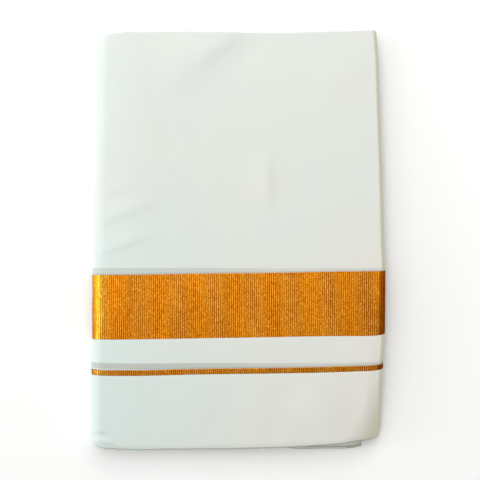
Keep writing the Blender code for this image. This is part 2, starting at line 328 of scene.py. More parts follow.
def relief(table, x, y):
    """The sum of a table's creases: soft across, and fading out at both ends."""
    total = np.zeros_like(x)
    for x0, y0, x1, y1, left, right, rise in np.array(table) / 1000:
        length = np.hypot(x1 - x0, y1 - y0)
        ux, uy = (x1 - x0) / length, (y1 - y0) / length
        along = ((x - x0) * ux + (y - y0) * uy) / length
        across = (y - y0) * ux - (x - x0) * uy
        fades = smooth_step(-0.25, 0.35, along) * (1 - smooth_step(0.6, 1.25, along))
        total += rise * fades * np.exp(-((across / np.where(across > 0, left, right)) ** 2))
    return total


def rows_at(half, x, v):
    """Y of a point of one half, between the rows that cross it."""
    rows = [smooth_through(x, half, i + 1) for i in range(len(ROW_AT))]
    i = np.clip(np.searchsorted(ROW_AT, v) - 1, 0, len(ROW_AT) - 2)
    share = (v - ROW_AT[i]) / (ROW_AT[i + 1] - ROW_AT[i])
    low, high = np.choose(i, rows[:-1]), np.choose(i, rows[1:])
    return low + share * (high - low)


def pressed_nose(x, z):
    """Points of the square pack, with the upper nose no longer round but pressed."""
    out, up = x - (WIDTH - UPPER_NOSE), z - (HEIGHT - UPPER_NOSE)
    here = (out > 0) & (z > HEIGHT - 2 * UPPER_NOSE - LEAF_GAP / 2)
    radius = np.where(here, np.maximum(np.hypot(out, up), 1e-9), 1.0)
    cosine, sine = np.where(here, out, 1.0) / radius, np.where(here, up, 0.0) / radius
    tall, wide = 1 + SLANT_FOOT, 1 - SLANT_TOP
    slant = np.maximum(tall * cosine + wide * sine, 0) / (tall * SLANT_TOP + wide)
    reach = (np.abs(sine)**BEND + slant**BEND + cosine**BEND) ** (-1 / BEND)
    return (
        np.where(here, WIDTH - UPPER_NOSE + out * reach, x),
        np.where(here, HEIGHT - UPPER_NOSE + up * reach, z),
    )


def set_in(x, v, z):
    """How far the hidden leaves lie in from the hem: most towards the free corner."""
    above_leaf_8 = smooth_step(0.9 * LEAF, 1.6 * LEAF, z)
    below_leaf_1 = 1 - smooth_step(HEIGHT - 1.9 * LEAF, HEIGHT - LEAF, z)
    along_hem = smooth_step(*SET_IN_GROWS, x) * (1 - smooth_step(*SET_IN_ENDS, x))
    own = 0.6 + 0.4 * drift(z + LEAF / 2, LEAF, 31)
    near_hem = 1 - smooth_step(0, HEM_SET_IN_TO_V, v)
    return HEM_SET_IN * own * (above_leaf_8 * below_leaf_1) * along_hem * near_hem


def settle(x, v, z):
    """The place in the pack as it lies of points of the square pack."""
    upper = z > MIDDLE
    x, z = pressed_nose(x, z)
    y = np.where(upper, rows_at(UPPER_HALF, x, v), rows_at(LOWER_HALF, x, v))
    spine = smooth_through(v, SIDES)
    nose = smooth_through(v, SIDES, 2)
    full = smooth_through(v, FULLNESS)
    hangs = smooth_step(LOWER_EDGE, WIDTH, x) * (1 - smooth_step(0, DROOP_TO_V, v))
    found_x = spine + (nose - spine) * x / WIDTH
    least, most = SPINE_SLACK
    lean = least + (most - least) * smooth_step(*SPINE_SLACK_GROWS, v)
    slack = 1 - lean * np.clip(1 - x / SPINE_SLACK_TO, 0, 1) ** 2
    outwards = CORNER_OUT[0] * (x - WIDTH) + CORNER_OUT[1] * (v - CORNER_FROM_V)
    corner = (outwards + CORNER_EASE) / CORNER_REACH
    slack = slack * (1 - CORNER_SLACK * np.clip(corner, 0, 1) ** CORNER_BEND)
    found_z = z * full * slack - DROOP * hangs * upper
    y = y + set_in(x, v, z)
    above = np.clip((z - MIDDLE) / MIDDLE, 0, 1)
    below = np.clip((MIDDLE - z) / MIDDLE, 0, 1)
    found_z = found_z + relief(TOP_RELIEF, found_x, y) * above
    found_z = found_z + relief(UNDER_RELIEF, found_x, y) * below
    side = np.exp(-((x / SPINE_WAVER_REACH) ** 2))
    waver = drift(v, 0.045, 3) + 0.5 * drift(v + z, 0.013, 4)
    found_x = found_x + SPINE_WAVER * side * waver
    return found_x, y, np.maximum(found_z, CLOTH / 2)


def lay(along, v, depth):
    """The place of a point of the strip: along it, across it, and below its right side."""
    x, z, normal_x, normal_z = STRIP.at(along)
    return settle(x - normal_x * depth, v, z - normal_z * depth)


def new_object(name, data):
    obj = bpy.data.objects.new(name, data)
    bpy.context.scene.collection.objects.link(obj)
    return obj


def grid_mesh(name, patches):
    """One mesh from grids of points. Each patch is (x, y, z, along, across), arrays of one shape.
    Its faces look to the right side of the cloth, and along and across are kept as its UV map."""
    points, faces, marks = [], [], []
    first = 0
    for x, y, z, along, across in patches:
        index = first + np.arange(x.size).reshape(x.shape)
        first += x.size
        points.append(np.stack([x, y, z], -1).reshape(-1, 3))
        marks.append(np.stack([along, across], -1).reshape(-1, 2))
        a, b, c, d = index[:-1, :-1], index[:-1, 1:], index[1:, 1:], index[1:, :-1]
        faces.append(np.stack([a, b, c, d], -1).reshape(-1, 4))
    points, faces, marks = np.concatenate(points), np.concatenate(faces), np.concatenate(marks)
    mesh = bpy.data.meshes.new(name)
    mesh.from_pydata(points, [], faces)
    mesh.uv_layers.new(name="Weave").data.foreach_set("uv", marks[faces.ravel()].ravel())
    return mesh


def new_piece(name, patches, finish):
    obj = new_object(name, grid_mesh(name, patches))
    obj.data.materials.append(finish)
    obj.data.shade_smooth()
    thicken(obj)
    return obj


def thicken(obj):
    solidify = obj.modifiers.new("Cloth", "SOLIDIFY")
    solidify.thickness = CLOTH
    solidify.offset = 0
    solidify.use_even_offset = True


def keep_evaluated(obj):
    """Replaces the object's mesh by the plain one that its modifiers make."""
    graph = bpy.context.evaluated_depsgraph_get()
    mesh = bpy.data.meshes.new_from_object(obj.evaluated_get(graph))
    obj.modifiers.clear()
    obj.data = mesh


# ---- node helpers

def linear(hex_colour):
    """An sRGB hex colour as linear red, green, blue and alpha."""
    parts = np.array([int(hex_colour[i:i + 2], 16) for i in (1, 3, 5)]) / 255
    parts = np.where(parts <= 0.04045, parts / 12.92, ((parts + 0.055) / 1.055) ** 2.4)
    return (*parts.tolist(), 1.0)


SMOOTH = {"interpolation_type": "SMOOTHSTEP"}  # for a map range, whose inputs are a value, what it
# runs between and what that gives
COLOURS = {"data_type": "RGBA", "out": 2}  # for a mix of colours


def plug_in(node, inputs):
    """Gives a node's inputs, in order, or by name or number: values, or outputs to link."""
    for key, value in inputs.items() if isinstance(inputs, dict) else enumerate(inputs):
        if isinstance(value, bpy.types.NodeSocket):
            node.id_data.links.new(value, node.inputs[key])
        else:
            node.inputs[key].default_value = value


def add_node(tree, kind, inputs=(), out=0, **settings):
    """Adds a node with its settings and inputs. Returns its output out, by name or number, or the
    node itself where out is None."""
    made = tree.nodes.new(kind)
    for key, value in settings.items():
        setattr(made, key, value)
    plug_in(made, inputs)
    return made if out is None else made.outputs[out]


def new_material(name):
    """A material, what adds a node to it, and its shader."""
    made = bpy.data.materials.new(name)
    made.use_nodes = True
    return made, partial(add_node, made.node_tree), made.node_tree.nodes["Principled BSDF"]


# ---- materials

NOISE_SPAN = (0.3, 0.7)  # what a noise mostly stays between

# Cotton
WEAVE_PITCH = 0.0009  # the threads are 0.3 mm apart, drawn three times as coarse so that they show
UNEVEN_YARN = (1400.0, 45.0)  # thick and thin places in a metre: each is 0.7 mm by 22 mm
CLOUDS = 16.0  # soft changes of tone in a metre: each is 60 mm
COOL_COTTON = linear("#D3DFDC")
WARM_REFLECTION_COTTON = linear("#E0DDD6")
# Painted shade, khaki like warm reflected light, on the pressed nose and the free corner
SHADED_FOLD_COTTON = linear("#D1CFBB")
MOTTLE = 0.12  # how far the clouds move the tone between cool and warm
THREAD_TONE = (0.982, 1.01)  # how dark and how bright uneven yarn looks
THREAD_SPAN = (0.7, 1.3)  # what the two yarns' noises together mostly stay between
WARMTH_FADES = (-0.05, 0.03)  # the Y over which the change from cool to warm fades
WARMTH_LEFT = 0.22  # and what is left of it at the folds
CORNER_SHADE_FROM = (0.144, 0.156)  # painted shade on the free corner grows between these, along CORNER_OUT
CORNER_SHADE_MOST = 0.90
NOSE_SHADE_FROM = (0.0004, -0.0011)  # and painted shade on the pressed nose grows between these, from the end of its bend
NOSE_SHADE_FADES = 0.003  # the painted shade fades out over this below it
HEM_EDGE_SHADE = linear("#AAACA3")  # painted shade along the edges at the hem
SELVEDGE_FADES = (0.0011, 0.0006)  # the distances from its edge between which it starts

# The second border, which shows through from ply 2
SHIFT_AT_SPINE = 0.0054  # how far it lies in from ply 1's
SHIFT_AT_NOSE = 0.0025
SHOW_THROUGH = linear("#A9ABA2")
LOW_BLUR, HIGH_BLUR = 0.0004, 0.0005  # how soft the two sides of each strip are
BAND_SHOWS = 0.70  # the band shows less than the line
SHOWS_FADES = (-0.04, 0.06)  # the X over which it fades, to what is left of it
SHOWS_LEFT = 0.55
VEIL = (0.30, 1.0)  # how much its ribs show, from groove to crest
VEIL_SPAN = 0.6  # the wave of the blurred ribs mostly stays within this
RIB_BLUR = 60.0  # stretches in a metre where the ribs show more or less: each is 17 mm

# Zari
FLOAT = 0.0011  # the length of one thread's float
STRANDS = 3.0  # threads side by side in a rib
DARKER_SHADE_STRETCHES = (70.0, 16.0)  # stretches where the painted groove shade is darker, in a metre: each is 14 mm by 60 mm
SWEEPS = (32.0, 7.0)  # slow changes of tone in a metre: each is 30 mm by 140 mm
UNEVEN_GILT = (2600.0, 1100.0)  # unevenness of the strip in a metre: 0.4 mm by 0.9 mm
GILT_AT_RIM = linear("#A89468")
# The crest's colour, and painted shade in the grooves between ribs
GILT_CREST = linear("#F09A24")
GILT_GROOVE_SHADE = linear("#983A00")
# Painted glint on the few floats that stand high
GILT_GLINT = linear("#FFC468")
RIB_TONE = (0.965, 1.035)  # how dark and how bright single ribs are
SWEEP_TONE = (0.93, 1.06)  # and sweeps
GROOVE_SHADE_NOISE_SPAN = (0.36, 0.60)  # the noise between which the painted groove shade goes from the first strength to the second
GROOVE_SHADE_STRENGTH = (0.55, 1.0)
GROOVE_SPAN = (0.05, 0.75)  # how far down from its crest a rib's painted shade starts, and where it is darkest
FLECK_SPAN = (0.94, 1.06)  # the few floats whose random value is above the first stand high
# How much of the gilt's red, green and blue is left, or is added where it is above 1: painted shade
# on floats that lie low, painted highlight on floats that lie high
SHADED_LOW_FLOAT = (0.77, 0.56, 0.08, 1.0)  # painted shade: floats that lie low are redder as well as darker
LIT_HIGH_FLOAT = (1.17, 1.33, 1.75, 1.0)
LINE_GILT = (0.80, 0.84, 1.26)  # the narrow line has more cotton among its gilt, so it is browner
LINE_GILT_ENDS = (LINE[1] + 0.003, LINE[1] + 0.002)  # anywhere between the line and the band
SHADED_FOLD_GILT = (0.45, 0.35, 0.34)  # painted shade on the pressed nose's gilt
GILT_SHADE_WIDER = 0.0014  # how much further up the gilt's painted shade reaches than the cotton's
SPINE_GILT_LIGHT = (
    # tint, and where it starts and is full, beyond where the spine's bend ends
    ((0.97, 1.40, 1.95), 0.0065, -0.0020),  # painted highlight, paler, on the spine's shoulder
    ((0.72, 0.61, 0.64), -0.0036, -0.0046),  # painted shade, a little duller, where it bends
    ((1.20, 1.75, 2.40), -0.0070, -0.0096),  # and the palest painted highlight down its middle
)

BOARD = linear("#FEFEFF")


def border_shift(along):
    """How far the second selvedge lies inside the first one, at a place along the top."""
    share = np.clip((along - LEGS[4]) / (LEGS[5] - LEGS[4]), 0, 1)
    return SHIFT_AT_NOSE + (SHIFT_AT_SPINE - SHIFT_AT_NOSE) * share


def nose_shade(add, along, wider=0.0):
    """1 on the upper nose's pressed side, where painted shade goes on the cloth and the gilt."""
    edge, full = (LEGS[4] + at + wider for at in NOSE_SHADE_FROM)
    starts = add("ShaderNodeMapRange", (along, edge, full), **SMOOTH)
    ends = add("ShaderNodeMapRange", (along, LEGS[3], LEGS[3] + NOSE_SHADE_FADES), **SMOOTH)
    return add("ShaderNodeMath", (starts, ends), operation="MULTIPLY")


def cotton_material():
    """Bleached cotton, plain woven from fine carded yarn and pressed: matt, a little soft at
    grazing angles, with thicker and thinner threads both ways. It is thin, so that the second
    border shows through as grey. Painted shade lies on the pressed nose, the free corner and the
    edges at the hem, and painted warm reflected light lies towards the noses."""
    made, add, shader = new_material("Woven bleached cotton")
    weave = add("ShaderNodeUVMap", uv_map="Weave")
    split = add("ShaderNodeSeparateXYZ", (weave,), None).outputs
    along, across = split["X"], split["Y"]
    spot = add("ShaderNodeTexCoord", out="Object")
    place = add("ShaderNodeSeparateXYZ", (spot,), None).outputs

    # Where the second border shows through, and how strongly
    shift = add("ShaderNodeMapRange", (along, LEGS[4], LEGS[5], SHIFT_AT_NOSE, SHIFT_AT_SPINE))
    under = add("ShaderNodeMath", (across, shift), operation="SUBTRACT")
    strips = []
    for low, high in (LINE, BAND):
        low_side = (low - LOW_BLUR, low + LOW_BLUR)
        high_side = (high - HIGH_BLUR, high + HIGH_BLUR)
        rises = add("ShaderNodeMapRange", (under, *low_side), **SMOOTH)
        falls = add("ShaderNodeMapRange", (under, *high_side, 1.0, 0.0), **SMOOTH)
        strips.append(add("ShaderNodeMath", (rises, falls), operation="MULTIPLY"))
    fades = add("ShaderNodeMapRange", (place["X"], *SHOWS_FADES, 1.0, SHOWS_LEFT))
    wide = add("ShaderNodeMath", (strips[1], BAND_SHOWS), operation="MULTIPLY")
    shows = add("ShaderNodeMath", (strips[0], wide), operation="MAXIMUM")
    shows = add("ShaderNodeMath", (shows, fades), operation="MULTIPLY")

    clouds = add("ShaderNodeTexNoise", {
        "Vector": weave, "Scale": CLOUDS, "Detail": 2.0, "Roughness": 0.5,
    }, "Fac")
    clouds = add("ShaderNodeMapRange", (clouds, *NOISE_SPAN))
    yarns = []
    for scale in (UNEVEN_YARN, UNEVEN_YARN[::-1]):  # the warp's, then the weft's
        laid = add("ShaderNodeMapping", {"Vector": weave, "Scale": (*scale, 1.0)})
        yarns.append(add("ShaderNodeTexNoise", {"Vector": laid, "Scale": 1.0}, "Fac"))
    threads = add("ShaderNodeMath", (yarns[0], yarns[1]), operation="ADD")

    # It is cooler near the spine, as laundry blue has left it, and warmer towards the noses, which
    # is painted warm reflected light
    warmer = add("ShaderNodeMapRange", (place["X"], -WIDTH / 2, WIDTH / 2, -0.5, 0.5))
    by_hem = add("ShaderNodeMapRange", (place["Y"], *WARMTH_FADES, 1.0, WARMTH_LEFT))
    mottle = add("ShaderNodeMapRange", (clouds, 0.0, 1.0, -MOTTLE, MOTTLE))
    for operation, other in (("MULTIPLY", by_hem), ("ADD", 0.5), ("ADD", mottle)):
        warmer = add("ShaderNodeMath", (warmer, other), operation=operation)
    tone = add("ShaderNodeMix", {0: warmer, 6: COOL_COTTON, 7: WARM_REFLECTION_COTTON}, **COLOURS)
    # Painted shade, khaki like warm reflected light, on the pressed nose and the sagging free
    # corner
    outwards = (*CORNER_OUT, 0.0)
    beyond = add("ShaderNodeVectorMath", (spot, outwards), "Value", operation="DOT_PRODUCT")
    corner_shade = add("ShaderNodeMapRange", (beyond, *CORNER_SHADE_FROM, 0.0, CORNER_SHADE_MOST), **SMOOTH)
    shaded_here = add("ShaderNodeMath", (nose_shade(add, along), corner_shade), operation="MAXIMUM")
    tone = add("ShaderNodeMix", {0: shaded_here, 6: tone, 7: SHADED_FOLD_COTTON}, **COLOURS)

    # The second border's ribs, the unevenness of the threads, and painted shade along the edges at
    # the hem
    ribs = add("ShaderNodeMath", (along, 2 * np.pi / RIB_PITCH), operation="MULTIPLY")
    ribs = add("ShaderNodeMath", (ribs,), operation="SINE")
    blurred = add("ShaderNodeTexNoise", {"Vector": weave, "Scale": RIB_BLUR}, "Fac")
    ribs = add("ShaderNodeMath", (ribs, blurred), operation="MULTIPLY")
    veiled = add("ShaderNodeMapRange", (ribs, -VEIL_SPAN, VEIL_SPAN, *VEIL))
    veil = add("ShaderNodeMath", (shows, veiled), operation="MULTIPLY")
    tone = add("ShaderNodeMix", {0: veil, 6: tone, 7: SHOW_THROUGH}, **COLOURS)
    thread_tone = add("ShaderNodeMapRange", (threads, *THREAD_SPAN, *THREAD_TONE))
    toned = add("ShaderNodeVectorMath", (tone, thread_tone), operation="MULTIPLY")
    selvedge = add("ShaderNodeMapRange", (across, *SELVEDGE_FADES), **SMOOTH)
    toned = add("ShaderNodeMix", {0: selvedge, 6: toned, 7: HEM_EDGE_SHADE}, **COLOURS)

    # The plain weave, which goes over and under both ways
    waves = []
    for way in (along, across):
        turns = add("ShaderNodeMath", (way, 2 * np.pi / WEAVE_PITCH), operation="MULTIPLY")
        waves.append(add("ShaderNodeMath", (turns,), operation="SINE"))
    plain = add("ShaderNodeMath", (waves[0], waves[1]), operation="MULTIPLY")
    height = add("ShaderNodeMath", (plain, threads), operation="ADD")
    bump = add("ShaderNodeBump", {"Height": height, "Strength": 0.12, "Distance": 0.00008})
    plug_in(shader, {
        "Base Color": toned, "Normal": bump, "Roughness": 0.86,
        "Sheen Weight": 0.18, "Sheen Roughness": 0.45,
    })
    return made


def zari_material():
    """Zari, a gilt metal strip wound on a thread and woven as ribs. The strip mirrors the light
    along each rib. The grooves between ribs carry painted shade, darker in some stretches than in
    others, ribs differ a little in tone, floats carry painted shade or painted highlight at random,
    and floats that stand high carry a painted glint as short dashes. Painted highlight and shade
    lie on the spine, and painted shade on the pressed nose."""
    made, add, shader = new_material("Gilt zari thread")
    weave = add("ShaderNodeUVMap", uv_map="Weave")
    split = add("ShaderNodeSeparateXYZ", (weave,), None).outputs
    along, across = split["X"], split["Y"]
    in_ribs = add("ShaderNodeMapping", {
        "Vector": weave, "Location": (0.5, 0.0, 0.0), "Scale": (1 / ZARI_PITCH, 1 / FLOAT, 1.0),
    })
    parts = add("ShaderNodeSeparateXYZ", (in_ribs,), None).outputs
    turn = add("ShaderNodeMath", (parts["X"], np.pi), operation="MULTIPLY")
    swing = add("ShaderNodeMath", (turn,), operation="SINE")
    crest = add("ShaderNodeMath", (swing,), operation="ABSOLUTE")

    # A random value for each rib and for each float of each strand
    rib = add("ShaderNodeMath", (parts["X"],), operation="FLOOR")
    per_rib = add("ShaderNodeTexWhiteNoise", {"W": rib}, "Value", noise_dimensions="1D")
    strand = add("ShaderNodeMath", (parts["X"], STRANDS), operation="MULTIPLY")
    strand = add("ShaderNodeMath", (strand,), operation="FLOOR")
    starts = add("ShaderNodeTexWhiteNoise", {"W": strand}, "Value", noise_dimensions="1D")
    late = add("ShaderNodeMath", (parts["Y"], starts), operation="ADD")
    late = add("ShaderNodeMath", (late,), operation="FLOOR")
    cell = add("ShaderNodeCombineXYZ", {"X": strand, "Y": late})
    per_float = add("ShaderNodeTexWhiteNoise", {"Vector": cell}, "Value", noise_dimensions="2D")

    noises = []
    for scale, detail in ((DARKER_SHADE_STRETCHES, 2.0), (SWEEPS, 1.0), (UNEVEN_GILT, 1.0)):
        laid = add("ShaderNodeMapping", {"Vector": weave, "Scale": (*scale, 1.0)})
        noises.append(add("ShaderNodeTexNoise", {
            "Vector": laid, "Scale": 1.0, "Detail": detail,
        }, "Fac"))
    darker_shade, sweep, uneven = noises

    # Painted shade in the grooves between ribs, stronger in some stretches than in others
    depth = add("ShaderNodeMapRange", (darker_shade, *GROOVE_SHADE_NOISE_SPAN, *GROOVE_SHADE_STRENGTH))
    valley = add("ShaderNodeMath", (1.0, crest), operation="SUBTRACT")
    valley = add("ShaderNodeMapRange", (valley, *GROOVE_SPAN))
    groove_shade = add("ShaderNodeMath", (valley, depth), operation="MULTIPLY")
    high = add("ShaderNodeMapRange", (per_float, *FLECK_SPAN))
    high = add("ShaderNodeMath", (high, depth), operation="MULTIPLY")
    # Each float at random gets painted shade or painted highlight
    float_tone = add("ShaderNodeMix", {0: per_float, 6: SHADED_LOW_FLOAT, 7: LIT_HIGH_FLOAT}, **COLOURS)
    rib_tone = add("ShaderNodeMapRange", (per_rib, 0.0, 1.0, *RIB_TONE))
    sweep_tone = add("ShaderNodeMapRange", (sweep, *NOISE_SPAN, *SWEEP_TONE))

    gold = add("ShaderNodeMix", {0: groove_shade, 6: GILT_CREST, 7: GILT_GROOVE_SHADE}, **COLOURS)
    for tone in (float_tone, rib_tone, sweep_tone):
        gold = add("ShaderNodeVectorMath", (gold, tone), operation="MULTIPLY")
    # Painted glints on the floats that stand high
    gold = add("ShaderNodeMix", {0: high, 6: gold, 7: GILT_GLINT}, **COLOURS)

    # The narrow line changes the gilt where it is; painted highlight and shade go on the spine, and
    # painted shade on the pressed nose
    narrow = add("ShaderNodeMapRange", (across, *LINE_GILT_ENDS))
    from_spine = add("ShaderNodeMath", (along, (LEGS[5] + LEGS[6]) / 2), operation="SUBTRACT")
    from_spine = add("ShaderNodeMath", (from_spine,), operation="ABSOLUTE")
    bend = (LEGS[6] - LEGS[5]) / 2
    tints = [(LINE_GILT, narrow)]
    for tint, begins, full in SPINE_GILT_LIGHT:
        spine_light = add("ShaderNodeMapRange", (from_spine, bend + begins, bend + full), **SMOOTH)
        tints.append((tint, spine_light))
    tints.append((SHADED_FOLD_GILT, nose_shade(add, along, GILT_SHADE_WIDER)))
    for tint, here in tints:
        tinted = add("ShaderNodeVectorMath", (gold, tint), operation="MULTIPLY")
        gold = add("ShaderNodeMix", {0: here, 6: gold, 7: tinted}, **COLOURS)

    height = add("ShaderNodeMath", (high, uneven), operation="ADD")
    bump = add("ShaderNodeBump", {"Height": height, "Strength": 0.3, "Distance": 0.0002})
    plug_in(shader, {
        "Base Color": gold, "Normal": bump, "Roughness": 0.38,
        "Metallic": 1.0, "Specular Tint": GILT_AT_RIM,
    })
    return made


def floor_material():
    """White painted board, matt and even."""
    made, _, shader = new_material("White board")
    plug_in(shader, {"Base Color": BOARD, "Roughness": 0.9})
    return made


# ---- zari ribs

RIBS = round(OUTER_LENGTH / RIB_PITCH)
ZARI_PITCH = OUTER_LENGTH / RIBS
RIB_FULLNESS = (0.75, 1.2)  # ribs are flatter and fuller than each other by these shares
STRETCH_FULLNESS = (0.5, 1.1)  # and so are stretches of the cloth
STRETCH_SPAN = (0.35, 0.65)  # the noise between which a stretch goes from flat to full
STRETCHES = 70.0  # stretches in a metre: each is 14 mm


def ribbed_tree():
    """Geometry nodes: one rib as a small arched grid, repeated side by side and welded."""
    tree = bpy.data.node_groups.new("Ribbed zari", "GeometryNodeTree")
    tree.interface.new_socket("Geometry", in_out="OUTPUT", socket_type="NodeSocketGeometry")
    for name, kind in (
        ("Ribs", "Int"), ("Pitch", "Float"), ("Length", "Float"), ("Rows", "Int"),
        ("Height", "Float"), ("Taper", "Float"), ("Seed", "Int"), ("Finish", "Material"),
    ):
        tree.interface.new_socket(name, in_out="INPUT", socket_type="NodeSocket" + kind)
    add = partial(add_node, tree)
    given = add("NodeGroupInput", out=None).outputs

    # An even grid, with its rows drawn towards both ends
    even = add("GeometryNodeMeshGrid", {
        "Size X": given["Pitch"], "Size Y": given["Length"],
        "Vertices X": 7, "Vertices Y": given["Rows"],
    })
    half = add("ShaderNodeMath", (given["Length"], 0.5), operation="MULTIPLY")
    position = add("GeometryNodeInputPosition")
    spot = add("ShaderNodeSeparateXYZ", (position,), None).outputs
    far = add("ShaderNodeMath", (spot["Y"], half), operation="DIVIDE")
    size = add("ShaderNodeMath", (far,), operation="ABSOLUTE")
    near_end = add("ShaderNodeMath", (1.0, size), operation="SUBTRACT")
    closer = add("ShaderNodeMath", (near_end, far), operation="MULTIPLY")
    slide = add("ShaderNodeMath", (closer, half), operation="MULTIPLY")
    towards_end = add("ShaderNodeCombineXYZ", {"Y": slide})
    rib = add("GeometryNodeSetPosition", {"Geometry": even, "Offset": towards_end})

    # Arched across, and running out into the plain weave at both ends
    share = add("ShaderNodeMath", (spot["X"], given["Pitch"]), operation="DIVIDE")
    angle = add("ShaderNodeMath", (share, np.pi), operation="MULTIPLY")
    arch = add("ShaderNodeMath", (angle,), operation="COSINE")
    rise = add("ShaderNodeMath", (arch, given["Height"]), operation="MULTIPLY")
    off_centre = add("ShaderNodeMath", (spot["Y"],), operation="ABSOLUTE")
    to_end = add("ShaderNodeMath", (half, off_centre), operation="SUBTRACT")
    ends = add("ShaderNodeMapRange", (to_end, 0.0, given["Taper"]), **SMOOTH)
    rise = add("ShaderNodeMath", (rise, ends), operation="MULTIPLY")
    lift = add("ShaderNodeCombineXYZ", {"Z": rise})
    arched = add("GeometryNodeSetPosition", {"Geometry": rib, "Offset": lift})

    # Side by side, each as full as its own random share and its stretch of the cloth give
    half_pitch = add("ShaderNodeMath", (given["Pitch"], 0.5), operation="MULTIPLY")
    start = add("ShaderNodeCombineXYZ", {"X": half_pitch, "Y": half})
    step = add("ShaderNodeCombineXYZ", {"X": given["Pitch"]})
    places = add("GeometryNodeMeshLine", {
        "Count": given["Ribs"], "Start Location": start, "Offset": step,
    })
    full = add("FunctionNodeRandomValue", {
        2: RIB_FULLNESS[0], 3: RIB_FULLNESS[1], "Seed": given["Seed"],
    }, 1, data_type="FLOAT")
    stretch = add("ShaderNodeTexNoise", {"Vector": position, "Scale": STRETCHES}, "Fac")
    stretch = add("ShaderNodeMapRange", (stretch, *STRETCH_SPAN, *STRETCH_FULLNESS))
    full = add("ShaderNodeMath", (full, stretch), operation="MULTIPLY")
    size = add("ShaderNodeCombineXYZ", {"X": 1.0, "Y": 1.0, "Z": full})
    ribs = add("GeometryNodeInstanceOnPoints", {
        "Points": places, "Instance": arched, "Scale": size,
    })
    loose = add("GeometryNodeRealizeInstances", (ribs,))
    welded = add("GeometryNodeMergeByDistance", {"Geometry": loose, "Distance": 0.00001})
    facing = add("GeometryNodeFlipFaces", (welded,))
    finished = add("GeometryNodeSetMaterial", {0: facing, "Material": given["Finish"]})
    add("NodeGroupOutput", (finished,), None)
    return tree


def made_by_nodes(name, tree, values):
    """A plain mesh made by a geometry node tree, whose inputs are given by name."""
    obj = new_object(name, bpy.data.meshes.new(name))
    modifier = obj.modifiers.new("Nodes", "NODES")
    modifier.node_group = tree
    for socket in tree.interface.items_tree:
        if socket.in_out == "INPUT":
            modifier[socket.identifier] = values[socket.name]
    keep_evaluated(obj)
    return obj


def ribbed_piece(name, tree, first, last, rows, finish, seed):
    """A stretch of zari, woven flat and then folded with the cloth that it is part of."""
    obj = made_by_nodes(name, tree, {
        "Ribs": RIBS, "Pitch": ZARI_PITCH, "Length": last - first, "Rows": rows,
        "Height": RIB_HEIGHT, "Taper": RIB_TAPER, "Seed": seed, "Finish": finish,
    })
    mesh = obj.data
    flat = np.empty(len(mesh.vertices) * 3)
    mesh.vertices.foreach_get("co", flat)
    along, across, rise = flat.reshape(-1, 3).T
    along, across = along + TUCK_IN, across + first
    rise = rise - RIB_SINK * smooth_step(0, RIB_TAPER, np.minimum(across - first, last - across))
    folded = lay(along, across, CLOTH / 2 - rise)
    mesh.vertices.foreach_set("co", np.stack(folded, -1).ravel())
    corners = np.empty(len(mesh.loops), int)
    mesh.loops.foreach_get("vertex_index", corners)
    marks = np.stack([along, across], -1)[corners]
    mesh.uv_layers.new(name="Weave").data.foreach_set("uv", marks.ravel())
    mesh.update()
    mesh.shade_smooth()
    thicken(obj)
    return obj


# ---- cotton

def spaced(first, last, step, close=0.0):
    """Distances from first to last about step apart, with two more by first where close is set."""
    count = max(1, round((last - first) / step))
    found = np.linspace(first, last, count + 1)
    if close:
        found = np.union1d(found, [first + close, first + 2.5 * close])
    return found


def outer_stops():
    """Distances along the outer leaf, from tuck to tuck."""
    spacings = (0.02, 0.004, COLUMN, UNDER_COLUMN, 0.003, 0.02, 0.02, 0.02, 0.02)
    stops = STRIP.stops(spacings, (2, 20, 28, 14, 2, 2, 2))
    tuck = np.linspace(TUCK_IN, LEGS[3], 7)
    inside = stops[(stops > LEGS[3]) & (stops < TUCK_OUT)]
    return np.concatenate([tuck, inside, [TUCK_OUT]])


def far_fold(turn_radius, depth, end_v, steps, reach):
    """v and depth of a ply that comes out to end_v, turns and goes back in below itself."""
    angle = np.linspace(0, np.pi, steps + 1)
    v = end_v - turn_radius + turn_radius * np.sin(angle)
    d = depth + turn_radius * (1 - np.cos(angle))
    back = end_v - turn_radius - reach
    return np.concatenate([v, back]), np.concatenate([d, np.full(len(reach), d[-1])])


def length_along(rows_v, rows_depth):
    """How far each row lies along the cloth from the first one."""
    return np.concatenate([[0.0], np.cumsum(np.hypot(np.diff(rows_v), np.diff(rows_depth)))])


def outer_cloth(finish):
    """The ply that shows: top, spine, underside and noses, turned in at the pressed folds."""
    along = outer_stops()
    patches = []
    for first, last in ((0.0, LINE[0]), (LINE[1], BAND[0]), (BAND[1], None)):
        if last is None:
            run = spaced(first, LENGTH - PLY[3] / 2 - 0.0004, ROW)
            turn_v, turn_depth = far_fold(PLY_TURN, PLY[0], LENGTH - CLOTH / 2, 7, TUCKED_ROWS)
            rows_v = np.concatenate([run[:-1], turn_v])
            rows_depth = np.concatenate([np.full(len(run) - 1, PLY[0]), turn_depth])
        else:
            rows_v = spaced(first, last, ROW)
            if first == 0.0:
                fine = spaced(0.0, HEM_FINE_TO, ROW / 2, HEM_CLOSE)
                rows_v = np.concatenate([fine, rows_v[rows_v > HEM_FINE_TO]])
            rows_depth = np.full(len(rows_v), PLY[0])
        s, v = np.meshgrid(along, rows_v, indexing="ij")
        across = np.broadcast_to(length_along(rows_v, rows_depth) + first, s.shape)
        patches.append((*lay(s, v + edge_wander(s, v, 11), rows_depth), s, across))
    return new_piece("outer_cloth", patches, finish)


# How far an end wanders and how often it turns: two at the hem, then two at the pressed folds
EDGE_WANDER = ((0.00022, 0.021), (0.00010, 0.006), (0.00018, 0.034), (0.00008, 0.009))
WANDER_REACH = 0.015


